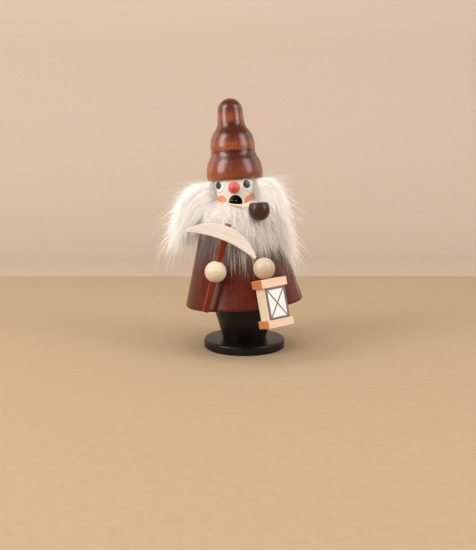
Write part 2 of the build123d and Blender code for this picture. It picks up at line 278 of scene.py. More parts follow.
def level_ways(azimuth):
    """The level directions at an azimuth: out from the axis, and round it to the gnome's left."""
    nought = np.zeros_like(azimuth)
    aside = np.stack([np.cos(azimuth), np.sin(azimuth), nought], axis=-1)
    return from_axis(azimuth, nought + 1, nought), aside


# Materials

class Finish:
    """One material: the shader and the nodes that feed it."""

    def __init__(self, name, **values):
        self.material = bpy.data.materials.new(name)
        self.material.use_nodes = True
        self.tree = self.material.node_tree
        self.shader = self.tree.nodes["Principled BSDF"]
        for words, value in values.items():
            self.shader.inputs[words.replace("_", " ")].default_value = value

    def add(self, kind, inputs, output=0, **settings):
        """A node with its settings and its inputs, each a value or another node's socket."""
        node = self.tree.nodes.new("ShaderNode" + kind)
        for key, value in settings.items():
            setattr(node, key, value)
        for key, value in inputs.items():
            if isinstance(value, bpy.types.NodeSocket):
                self.tree.links.new(value, node.inputs[key])
            else:
                node.inputs[key].default_value = value
        return node.outputs[output]

    def place(self, middle=(0, 0, 0), axes=np.eye(3), stretch=(1, 1, 1)):
        """Object coordinates read from a middle, along a part's own directions, in millimetres."""
        turn = Matrix(axes.tolist()).to_euler()
        scale = [mm * s for s in stretch]
        coordinates = self.add("TexCoord", {}, "Object")
        return self.add("Mapping", {"Vector": coordinates, "Location": middle, "Rotation": turn,
                                    "Scale": scale}, vector_type="TEXTURE")

    def figure(self, stretch=(1, 1, 1)):
        """Object coordinates along the leaning figure, from its seat."""
        return self.place(seat, lean, stretch)

    def lantern(self, stretch=(1, 1, 1)):
        """Object coordinates along the lantern, from the middle of its block."""
        return self.place(node_middle("lantern_body"), lean @ lantern_axes(), stretch)

    def reach(self, middle):
        """Distance in millimetres from a point of the figure."""
        return self.add("VectorMath", {0: self.place(placed(middle))}, "Value", operation="LENGTH")

    def noise(self, vector, scale, detail=3, rough=0.5, twist=0):
        """Cloudy values about a half, scale waves to the unit of the vector."""
        return self.add("TexNoise", {"Vector": vector, "Scale": scale, "Detail": detail, "Roughness": rough,
                                     "Distortion": twist}, "Fac")

    def spots(self, vector, scale):
        """Distance from the nearest of many scattered points."""
        return self.add("TexVoronoi", {"Vector": vector, "Scale": scale}, "Distance")

    def axis(self, vector, letter):
        """One part of a vector, named X, Y or Z."""
        return self.add("SeparateXYZ", {"Vector": vector}, letter)

    def sum(self, kind, *values):
        """Arithmetic of a kind on its values."""
        return self.add("Math", dict(enumerate(values)), operation=kind)

    def span(self, value, low, high, start=0, end=1):
        """A value carried evenly from one span to another, and held at its ends."""
        return self.add("MapRange", {"Value": value, "From Min": low, "From Max": high, "To Min": start,
                                     "To Max": end}, "Result")

    def ramp(self, value, *stops):
        """Colours along a value: each stop is its place and its colour."""
        socket = self.add("ValToRGB", {"Fac": value})
        row = socket.node.color_ramp
        for index, (place, colour) in enumerate(stops):
            stop = row.elements[index] if index < 2 else row.elements.new(place)
            stop.position = place
            stop.color = (*colour, 1)
        return socket

    def blend(self, share, first, second, kind="MIX"):
        """The first colour, and a share of the second over it."""
        share_input, first_input, second_input, result = 0, 6, 7, 2
        first, second = ((*c, 1) if isinstance(c, tuple) else c for c in (first, second))
        return self.add("Mix", {share_input: share, first_input: first, second_input: second}, result,
                        data_type="RGBA", blend_type=kind)

    def done(self, colour, height=None, depth=0.03, roughness=None):
        """Joins up the colour, the relief of a height map depth millimetres deep, and the roughness."""
        sockets = {"Base Color": colour, "Roughness": roughness}
        if height is not None:
            sockets["Normal"] = self.add("Bump", {"Height": height, "Distance": depth * mm, "Strength": 1.0})
        for words, socket in sockets.items():
            if socket is not None:
                self.tree.links.new(socket, self.shader.inputs[words])
        return self.material


def black_stain():
    """Turned wood stained black: fine lathe rings, and faint brown patches where it is rubbed."""
    f = Finish("black_stain", Roughness=0.34, Specular_IOR_Level=0.28, Coat_Weight=0.08, Coat_Roughness=0.2)
    rings = f.noise(f.place(stretch=(16, 16, 0.35)), 1.2)
    patches = f.noise(f.place(), 0.35, 4)
    tone = f.ramp(patches, (0.3, (0.0028, 0.0024, 0.0021)), (0.62, (0.0062, 0.0050, 0.0040)),
                  (0.85, (0.012, 0.0085, 0.0064)))
    return f.done(tone, rings, 0.012, f.span(patches, 0.3, 0.8, 0.30, 0.44))


def coat_stain():
    """Turned wood stained dark red-brown, its grain upright, with fine open pores."""
    f = Finish("coat_stain", Roughness=0.33, Specular_IOR_Level=0.16, Coat_Weight=0.08, Coat_Roughness=0.18)
    grain = f.noise(f.figure((1, 1, 14)), 1.1, 5, 0.6, 0.4)
    broad = f.noise(f.figure((5, 5, 16)), 0.55)
    pores = f.spots(f.figure((1, 1, 3.5)), 2.4)
    colour = f.ramp(grain, (0.28, (0.056, 0.0090, 0.0055)), (0.52, (0.092, 0.0150, 0.0085)),
                    (0.78, (0.150, 0.030, 0.015)))
    colour = f.blend(f.span(broad, 0.4, 0.7, 0, 0.4), colour, (0.105, 0.017, 0.009))
    colour = f.blend(f.span(pores, 0.06, 0.24, 0.5, 0), colour, (0.17, 0.055, 0.03))
    relief = f.sum("ADD", grain, f.span(pores, 0.05, 0.25, -0.5, 0))
    return f.done(colour, relief, 0.035, f.span(grain, 0.3, 0.7, 0.29, 0.38))


def hat_stain():
    """Glossy stain, wiped thin so that the lower part of each bell shows orange; the side towards the key
    light is painted a lighter orange, as painted light.
    """
    f = Finish("hat_stain", Roughness=0.34, Specular_IOR_Level=0.42, Coat_Weight=0.6, Coat_Roughness=0.23)
    where = f.figure()
    level = f.axis(where, "Z")
    grain = f.noise(f.figure((1, 1, 12)), 1.0, 5, 0.6, 0.5)
    cloud = f.noise(f.figure((4, 4, 3)), 1.1)
    unevenness = f.sum("MULTIPLY", f.sum("SUBTRACT", cloud, 0.5), 1.8)
    share = f.span(f.sum("ADD", level, unevenness), hat_base, hat_base + hat_height)
    dark, middle, glow = (0.066, 0.0110, 0.0062), (0.125, 0.0235, 0.0105), (0.330, 0.080, 0.022)
    amber, line = (0.22, 0.050, 0.015), (0.200, 0.042, 0.013)
    colour = f.ramp(share, (0.0, line), (0.05, amber), (0.12, line), (0.20, middle), (0.28, dark),
                    (0.345, dark), (0.37, glow), (0.387, glow), (0.397, line), (0.41, glow), (0.45, amber),
                    (0.50, middle), (0.58, dark), (0.68, dark), (0.725, amber), (0.745, glow), (0.755, line),
                    (0.765, glow), (0.80, amber), (0.85, middle), (0.93, (0.100, 0.019, 0.009)))
    # Painted light: a lighter orange on the figure's right (negative x), where the key light falls
    key_light_side = f.span(f.axis(where, "X"), -14, -3, 0.6, 0)
    colour = f.blend(key_light_side, colour, (0.36, 0.088, 0.024))
    colour = f.blend(f.span(grain, 0.38, 0.68, 0, 0.8), colour, (0.50, 0.31, 0.25), "MULTIPLY")
    colour = f.blend(f.span(f.spots(f.figure((1, 1, 1.6)), 1.5), 0.1, 0.4, 0.35, 0), colour,
                     (0.36, 0.10, 0.035))
    return f.done(colour, grain, 0.02, f.span(grain, 0.3, 0.7, 0.29, 0.38))


def pale_wood(name, light, mid, dark, axes, middle, along, fine, rough, coat=0.0, stain=None):
    """Bare pale wood: fibres drawn out along one direction, and broader year rings across it."""
    f = Finish(name, Roughness=rough, Coat_Weight=coat, Coat_Roughness=0.3)
    fibres = f.noise(f.place(middle, axes, along), fine, 5, 0.65)
    rings = f.noise(f.place(middle, axes, tuple(3 * s for s in along)), fine, 2, 0.5, 0.3)
    colour = f.ramp(fibres, (0.25, dark), (0.5, mid), (0.75, light))
    colour = f.blend(f.span(rings, 0.42, 0.72, 0, 0.45), colour, mid)
    if stain:
        colour = stain(f, colour)
    return f.done(colour, fibres, 0.03, f.span(fibres, 0.3, 0.7, rough - 0.06, rough + 0.08))


def head_wood():
    """Pale turned wood, black where the smoke passes."""
    soot_start, soot_full = 0.5, 1.1

    def soot(f, colour):
        """Smoke black inside the head: all that lies deeper below the arc of its side than the hole's rim."""
        where = f.figure()
        x, y, z = (f.axis(where, letter) for letter in "XYZ")
        around = f.sum("SQRT", f.sum("ADD", f.sum("MULTIPLY", x, x), f.sum("MULTIPLY", y, y)))
        arc_x, arc_z, radius = (float(value) for value in head_arc)
        out, up = f.sum("SUBTRACT", around, arc_x), f.sum("SUBTRACT", z, arc_z)
        reach = f.sum("SQRT", f.sum("ADD", f.sum("MULTIPLY", out, out), f.sum("MULTIPLY", up, up)))
        share = f.span(reach, radius - soot_full, radius - soot_start, 1, 0)
        return f.blend(share, colour, (0.014, 0.010, 0.007))

    return pale_wood("head_wood", (0.79, 0.75, 0.71), (0.76, 0.70, 0.63), (0.70, 0.60, 0.50),
                     lean, seat, (1, 1, 9), 0.9, 0.42, 0.25, soot)


def hand_wood():
    """Pale balls, their fibres level, the left one darkened by painted shade."""
    patch_middle, patch_core, patch_reach = hand_left + (2.5, -3.0, -3.0), 1.0, 17.0

    def ochre_and_painted_shade(f, colour):
        """An ochre cloud centred low on the left hand: partly the end grain's colour, partly painted shade
        that darkens the whole ball, and the right hand faintly.
        """
        share = f.span(f.reach(patch_middle), patch_core, patch_reach, 0.92, 0.1)
        return f.blend(share, colour, (0.43, 0.305, 0.19))

    return pale_wood("hand_wood", (0.69, 0.59, 0.46), (0.645, 0.53, 0.395), (0.58, 0.45, 0.31),
                     lean, seat, (8, 1, 1), 0.8, 0.45, 0.2, ochre_and_painted_shade)


def blade_wood():
    """The blade, its fibres along its chord."""
    return pale_wood("blade_wood", (0.74, 0.67, 0.60), (0.69, 0.60, 0.52), (0.56, 0.43, 0.36),
                     lean @ blade_axes(), placed(blade_middle), (14, 1, 1), 1.3, 0.55)


def stem_wood():
    """The pipe's light stem."""
    return pale_wood("stem_wood", (0.84, 0.62, 0.38), (0.74, 0.50, 0.27), (0.60, 0.36, 0.18),
                     lean, seat, (8, 4, 1), 1.5, 0.5)


def peg_wood():
    """Beech dowels."""
    return pale_wood("peg_wood", (0.80, 0.64, 0.45), (0.72, 0.54, 0.36), (0.60, 0.42, 0.26),
                     lean, seat, (1, 1, 8), 1.5, 0.6)


def handle_wood():
    """Red-brown stained stick with fibres along it, its cut end paler."""
    f = Finish("handle_wood", Roughness=0.42, Specular_IOR_Level=0.1)
    way = handle_direction()
    side = unit(np.cross(way, (0, 1, 0)))
    axes = lean @ turned_axes(side, np.cross(way, side), way)
    end_start, end_full = 24.6, 25.4
    fibres = f.noise(f.place(placed(hand_right), axes, (1, 1, 16)), 2.2, 5, 0.65)
    colour = f.ramp(fibres, (0.28, (0.075, 0.0095, 0.0025)), (0.52, (0.165, 0.022, 0.0050)),
                    (0.76, (0.34, 0.070, 0.015)))
    cut_end = f.span(f.axis(f.place(placed(hand_right), axes), "Z"), end_start, end_full)
    return f.done(f.blend(cut_end, colour, (0.25, 0.120, 0.078)), fibres, 0.04)


def lantern_wood():
    """The lantern's plates, their fibres along their width."""
    stain_depth, stain_soft = 0.28, 0.12

    def orange_ends(f, colour):
        """The plates' end faces are stained orange before the plates are glued on."""
        across = f.sum("ABSOLUTE", f.axis(f.lantern(), "X"))
        edge = lantern_plate_width / 2 - stain_depth
        cloud = f.noise(f.lantern(), 1.3)
        ends = f.ramp(cloud, (0.3, (0.440, 0.124, 0.036)), (0.7, (0.592, 0.216, 0.080)))
        return f.blend(f.span(across, edge, edge + stain_soft), colour, ends)

    return pale_wood("lantern_wood", (0.79, 0.62, 0.47), (0.74, 0.53, 0.37), (0.66, 0.43, 0.28),
                     lean @ lantern_axes(), node_middle("lantern_body"), (14, 1, 1), 1.2, 0.5, 0.1,
                     orange_ends)


def lantern_core_wood():
    """The lantern's block, its fibres upright."""
    return pale_wood("lantern_core_wood", (0.76, 0.66, 0.52), (0.72, 0.59, 0.42), (0.65, 0.49, 0.32),
                     lean @ lantern_axes(), node_middle("lantern_body"), (1, 1, 14), 1.2, 0.5, 0.1)


def window_print():
    """A pale panel printed with a dark border and two crossing bars."""
    f = Finish("window_print", Roughness=0.5)
    border_side, border_end, bar_width, soft = 1.3, 1.1, 0.80, 0.12
    inner_wide = lantern_body_width / 2 - window_margin - border_side
    inner_high = lantern_height / 2 - window_margin - border_end
    x, z = (f.sum("ABSOLUTE", f.axis(f.lantern(), letter)) for letter in "XZ")
    sides = f.span(x, inner_wide - soft, inner_wide + soft)
    ends = f.span(z, inner_high - soft, inner_high + soft)
    diagonal = math.hypot(inner_wide, inner_high)
    across = f.sum("ABSOLUTE", f.sum("SUBTRACT", f.sum("MULTIPLY", x, inner_high / diagonal),
                                     f.sum("MULTIPLY", z, inner_wide / diagonal)))
    bars = f.span(across, bar_width / 2 - soft, bar_width / 2 + soft, 1, 0)
    lines = f.sum("MAXIMUM", f.sum("MAXIMUM", sides, ends), bars)
    fibres = f.noise(f.lantern((1, 1, 10)), 1.6, 4)
    panel = f.ramp(fibres, (0.3, (0.79, 0.75, 0.70)), (0.7, (0.90, 0.87, 0.83)))
    ink = f.ramp(fibres, (0.3, (0.120, 0.088, 0.096)), (0.7, (0.192, 0.148, 0.152)))
    return f.done(f.blend(lines, panel, ink), fibres, 0.02)


def bowl_lacquer():
    """Dark plum lacquer over turned wood, paler in a band at the top of its rim."""
    f = Finish("bowl_lacquer", Roughness=0.36, Specular_IOR_Level=0.3, Coat_Weight=0.2, Coat_Roughness=0.25)
    rings = f.noise(f.figure((6, 6, 0.3)), 1.4, 4)
    cloud = f.noise(f.figure(), 0.8)
    level = f.axis(f.figure(), "Z")
    colour = f.ramp(cloud, (0.3, (0.034, 0.012, 0.012)), (0.7, (0.058, 0.020, 0.019)))
    rim, top_band = bowl_middle[2] + bowl_height - bowl_radius, 0.9
    colour = f.blend(f.span(level, rim - top_band, rim, 0, 0.5), colour, (0.119, 0.064, 0.055))
    return f.done(colour, rings, 0.03)


def nose_paint():
    """Red paint, a deeper red in a spot low on the front of the ball."""
    f = Finish("nose_paint", Roughness=0.38, Coat_Weight=0.3, Coat_Roughness=0.25)
    spot_out, spot_down = 6.0, 1.4
    low_spot = on_head(math.radians(face_turn), nose_height, spot_out) - (0, 0, spot_down)
    cloud = f.noise(f.figure(), 1.6)
    colour = f.ramp(cloud, (0.3, (0.540, 0.068, 0.054)), (0.7, (0.684, 0.126, 0.099)))
    colour = f.blend(f.span(f.reach(low_spot), 0.8, 2.8, 0.7, 0), colour, (0.414, 0.032, 0.032))
    return f.done(colour, cloud, 0.03)


def brush_paint(name, thin, thick, rough=0.4, scale=1.0):
    """Brushed paint, in thin and thick streaks."""
    f = Finish(name, Roughness=rough, Coat_Weight=0.3, Coat_Roughness=0.2)
    streaks = f.noise(f.figure((1, 1, 4)), scale, 4, 0.6)
    return f.done(f.ramp(streaks, (0.35, thin), (0.68, thick)), streaks, 0.02)


def dish_metal():
    """Thin pressed sheet, dulled in cloudy patches."""
    f = Finish("dish_metal", Roughness=0.35, Metallic=1.0)
    where = f.place(seat)
    cloud = f.noise(where, 0.5, 4)
    colour = f.ramp(cloud, (0.3, (0.42, 0.38, 0.34)), (0.7, (0.66, 0.63, 0.58)))
    return f.done(colour, f.noise(where, 1.5), 0.03, f.span(f.noise(where, 3.0), 0.3, 0.7, 0.28, 0.5))


def hide_leather():
    """Tanned skin with fine pores."""
    f = Finish("hide_leather", Roughness=0.7)
    cells = f.spots(f.figure(), 2.2)
    cloud = f.noise(f.figure(), 0.6)
    return f.done(f.ramp(cloud, (0.3, (0.74, 0.66, 0.54)), (0.7, (0.84, 0.78, 0.68))), cells, 0.1)


def fur_finish(name, root, stops):
    """Hair: u runs along each hair and v is its own tone, from stops, a little warmer at its root."""
    f = Finish(name, Roughness=0.5, Sheen_Weight=0.25, Sheen_Roughness=0.5)
    along = f.add("UVMap", {}, uv_map="along")
    row = f.add("SeparateXYZ", {"Vector": along}, "X").node
    tone = f.ramp(row.outputs["Y"], *stops)
    drift = f.noise(f.figure((1, 1, 3)), 0.5)
    tone = f.blend(f.span(drift, 0.35, 0.7, 0, 0.35), tone, stops[-1][1])
    return f.done(f.blend(f.span(row.outputs["X"], 0.0, 0.4, 0.7, 0), tone, root))


# Paint on the face

def dab(name, azimuth, height, wide, high, turn, material, thickness):
    """A dome of paint on the head: rings of an ellipse laid on the head's surface, closed underneath."""
    rings, columns = 9, 40
    rim_lift, sunk = 0.03, -0.12
    dome = np.linspace(0.14, 1, rings)
    ring = np.concatenate([dome, np.linspace(0.96, 0.2, rings)])[:, None]
    lift = np.concatenate([np.sqrt(1 - dome**2) * thickness + rim_lift, np.full(rings, sunk)])[:, None]
    angle = np.linspace(0, 2 * np.pi, columns, endpoint=False)[None, :]
    u, v = ring * np.cos(angle) * wide / 2, ring * np.sin(angle) * high / 2
    cosine, sine = math.cos(math.radians(turn)), math.sin(math.radians(turn))
    across, up = u * cosine - v * sine, u * sine + v * cosine
    level = height + up
    middle = math.radians(azimuth)
    points = on_head(middle + across / head_radius, level, lift).reshape(-1, 3)
    poles = np.stack([on_head(middle, height, thickness + rim_lift), on_head(middle, height, sunk)])
    quads, ends = (np.roll(faces[:, ::-1], 1, axis=1) for faces in tube_faces(2 * rings, columns))
    return build(name, np.concatenate([points, poles]), quads, ends, material)


# Fur

def between(rows, which, t):
    """Points of cubic Bezier curves whose control points lie between neighbouring guide rows."""
    place = np.clip(which * (len(rows) - 1), 0, len(rows) - 1.001)
    low = place.astype(int)
    mix = (place - low)[:, None, None]
    controls = rows[low] * (1 - mix) + rows[low + 1] * mix
    return along_curve(controls, t)


def along_curve(controls, t):
    """Points of cubic Bezier curves, one for each row of four control points, at the shares t."""
    weights = np.stack([(1 - t) ** 3, 3 * t * (1 - t) ** 2, 3 * t * t * (1 - t), t**3], axis=-1)
    weights = np.broadcast_to(weights, (len(controls), *weights.shape[1:]))
    return np.einsum("crk,ckx->crx", weights, controls)


def clear_of_coat(points, gap):
    """Moves points that are inside the coat, the head or the hat out to their surfaces."""
    around = np.hypot(points[..., 0], points[..., 1])
    height = points[..., 2]
    beside_head = head_surface(np.clip(height, head_base, hat_base)) + head_gap
    least = np.where(height < coat_height, coat_surface(height) + gap, 0)
    overlap, brim_round = 0.5, 0.6
    least = np.where(height > coat_height - overlap, np.maximum(least, beside_head), least)
    brim, brim_edge = hat_base - brim_gap, hat_radius - brim_round
    under_brim = (height > brim) & (around < brim_edge)
    height = np.where(under_brim, brim, height)
    beside_hat = (height > brim) & ~under_brim
    least = np.where(beside_hat, hat_radius + hat_gap, least)
    grow = np.maximum(least / np.maximum(around, 0.1), 1)
    return np.stack([points[..., 0] * grow, points[..., 1] * grow, height], axis=-1)


def clear_of_ball(points, middle, radius):
    """Moves points that are inside a ball straight out of it."""
    away = points - middle
    reach = np.linalg.norm(away, axis=-1, keepdims=True)
    return np.where(reach < radius, middle + away / np.maximum(reach, 0.01) * radius, points)


def clear_of_blade(points, gap):
    """Moves points that are inside the crescent back out of its rear face."""
    axes = blade_axes()
    local = (points - blade_middle) @ axes
    half = blade_length / 2 + gap
    bow = 1 - (local[..., 0] / half) ** 2
    spare_back, spare_edge = 0.6, 0.9
    back = blade_rise * bow + gap + spare_back
    edge = (blade_rise - blade_width) * bow - gap - spare_edge
    inside = (np.abs(local[..., 0]) < half) & (local[..., 1] < back) & (local[..., 1] > edge)
    rear = -blade_thickness / 2 - gap
    local[..., 2] = np.where(inside & (local[..., 2] > rear), rear, local[..., 2])
    return local @ axes.T + blade_middle


def clear_of_handle(points, gap):
    """Moves points that are inside the stick away from its axis, past its rounded corners."""
    way = handle_direction()
    away = points - hand_right
    along = away @ way
    off = away - along[..., None] * way
    reach = np.linalg.norm(off, axis=-1, keepdims=True)
    corner_share = 0.6
    least = handle_width * corner_share + gap
    return np.where(reach < least, points + off / np.maximum(reach, 0.01) * (least - reach), points)


def within_reach(paths):
    """Draws in hair that strays far to either side: past the width it keeps a share of what is left."""
    past = np.maximum(np.abs(paths[..., 0] + reach_middle) - reach_half, 0)
    paths = paths.copy()
    paths[..., 0] -= np.sign(paths[..., 0] + reach_middle) * past * (1 - 1 / (1 + past / reach_soft))
    return paths


def lay_hair(paths, gap):
    """Hair paths kept off every hard part: coat, head and hat first, then blade, stick, hands and bowl."""
    paths = clear_of_coat(within_reach(paths), gap)
    paths = clear_of_handle(clear_of_blade(paths, blade_gap), handle_gap)
    for middle in (hand_right, hand_left):
        paths = clear_of_ball(paths, middle, hand_radius + hand_gap)
    return clear_of_ball(paths, bowl_middle, bowl_radius + bowl_gap)


def hair_mesh(name, paths, facing, root_width, tone, material):
    """Flat three-cornered hairs along paths, thinning to a single tip, each closed at its root.

    A section has a corner to each side and a low ridge that faces away from the body, so that the hair
    lies flat. Its width falls with the square root of what is left of the hair.
    """
    count, rings = paths.shape[:2]
    never_nought, roll_spread, thinning = 1e-9, 0.35, 0.96
    ahead = unit(np.gradient(paths, axis=1) + never_nought)
    roll = chance.normal(0, roll_spread, (count, 1, 1))
    first = unit(np.cross(facing, ahead) + never_nought)
    second = np.cross(ahead, first)
    first, second = (first * np.cos(roll) + second * np.sin(roll),
                     second * np.cos(roll) - first * np.sin(roll))
    t = np.linspace(0, 1, rings)
    width = (root_width[:, None] * np.sqrt(1 - thinning * t[None, :]))[:, :-1, None, None]
    aside = np.array((1.0, 0.0, -1.0))[:, None]
    ridge = np.array((0.0, ridge_share, 0.0))[:, None]
    body = paths[:, :-1, None] + width * (aside * first[:, :-1, None] + ridge * second[:, :-1, None])
    per_hair = (rings - 1) * 3 + 1
    points = np.concatenate([body.reshape(count, -1, 3), paths[:, -1:]], axis=1)
    start = np.arange(count)[:, None, None] * per_hair
    ring = np.arange(rings - 2)[None, :, None] * 3
    side = np.arange(3)[None, None, :]
    after = (side + 1) % 3
    quads = np.stack([start + ring + side, start + ring + after, start + ring + 3 + after,
                      start + ring + 3 + side], axis=-1).reshape(-1, 4)
    start = start[:, 0]
    last = (rings - 2) * 3
    side, after = side[0], after[0]
    tips = np.stack([start + last + side, start + last + after,
                     np.broadcast_to(start + per_hair - 1, (count, 3))], axis=-1).reshape(-1, 3)
    roots = np.concatenate([start + 2, start + 1, start], axis=-1)
    u = np.concatenate([np.repeat(t[:-1], 3), [1]])
    uv = np.stack([np.broadcast_to(u, (count, per_hair)), np.broadcast_to(tone[:, None], (count, per_hair))],
                  axis=-1).reshape(-1, 2)
    triangles = np.concatenate([tips, roots])
    return build(name, points.reshape(-1, 3), quads, triangles, material, uv=uv, smooth_shade=False)


def tube_mesh(name, points, tone, material, replaces):
    """A closed skin of fur through rings of points, both ends shut by a fan; tone is each column's shade."""
    rows, columns = points.shape[:2]
    quads, ends = tube_faces(rows, columns)
    flat = np.concatenate([points.reshape(-1, 3), points[:1].mean(axis=1), points[-1:].mean(axis=1)])
    first, second, third = (flat[quads[:, corner]] for corner in range(3))
    if (np.cross(first, second) * third).sum() < 0:
        quads, ends = quads[:, ::-1], ends[:, ::-1]
    u = np.repeat(np.linspace(0, 1, rows), columns)
    uv = np.stack([np.concatenate([u, [0, 1]]), np.concatenate([np.tile(tone, rows), [0.5, 0.5]])], axis=-1)
    return build(name, flat, quads, ends, material, replaces, uv)


def locks(turn, along, pitches):
    """Relief of combed locks: waves across the fur, each swaying a little along it, of random height."""
    relief = 0
    for pitch in pitches:
        sway = chance.uniform(-0.6, 0.6)
        relief = relief + np.sin(pitch * turn + sway * 6 * along + chance.uniform(0, 6)) * (
            0.6 + 0.4 * np.sin(pitch / 5.3 * turn - 3 * along + chance.uniform(0, 6)))
    return relief / len(pitches)


def stray(paths, wave, wander):
    """Adds to each hair two slow waves and a wander away that grows with the square of its length."""
    count, rings = paths.shape[:2]
    t = np.linspace(0, 1, rings)[None, :, None]
    moved = paths.copy()
    for turns in (0.8, 1.7):
        way = unit(chance.normal(size=(count, 1, 3)))
        phase = chance.uniform(0, 2 * np.pi, (count, 1, 1))
        moved += way * wave[:, None, None] / turns * t * np.sin(2 * np.pi * turns * t + phase)
    drift = unit(chance.normal(size=(count, 1, 3)))
    return moved + drift * wander[:, None, None] * t**2


def tufted(count, tufts, low, high, spread):
    """Each hair's tuft, the tufts' own values, and each hair's value spread about its tuft's."""
    middles = chance.uniform(low, high, tufts)
    tuft = chance.integers(0, tufts, count)
    own = np.clip(middles[tuft] + chance.normal(0, spread, count), low, high)
    return tuft, middles, own


def bowed(root, way, length, bend, wave, wander, rings=short_rings):
    """Short hair: root, plus way times length and t, plus bend times length and t squared, then astray."""
    t = np.linspace(0, 1, rings)[None, :, None]
    paths = root[:, None] + way[:, None] * length * t + bend * length * t**2
    return stray(paths, np.full(len(root), wave), np.full(len(root), wander))


def tones(count, middle, spread):
    """Each hair's own tone, from nought to one, about a middle."""
    return np.clip(chance.normal(middle, spread, count), 0, 1)


def tufted_tones(tuft, tufts, middle, spread, tuft_spread):
    """Each hair's tone, from nought to one: its own about a middle, moved by its tuft's."""
    own = chance.normal(middle, spread, len(tuft))
    return np.clip(own + chance.normal(0, tuft_spread, tufts)[tuft], 0, 1)


def often_wild(count, share, wild_wave, wave, wild_wander, wander):
    """Which hairs are wild, a share of all, and each hair's wave and wander, greater where it is wild."""
    wild = chance.random(count) < share
    return wild, np.where(wild, wild_wave, wave), np.where(wild, chance.uniform(*wild_wander, count), wander)


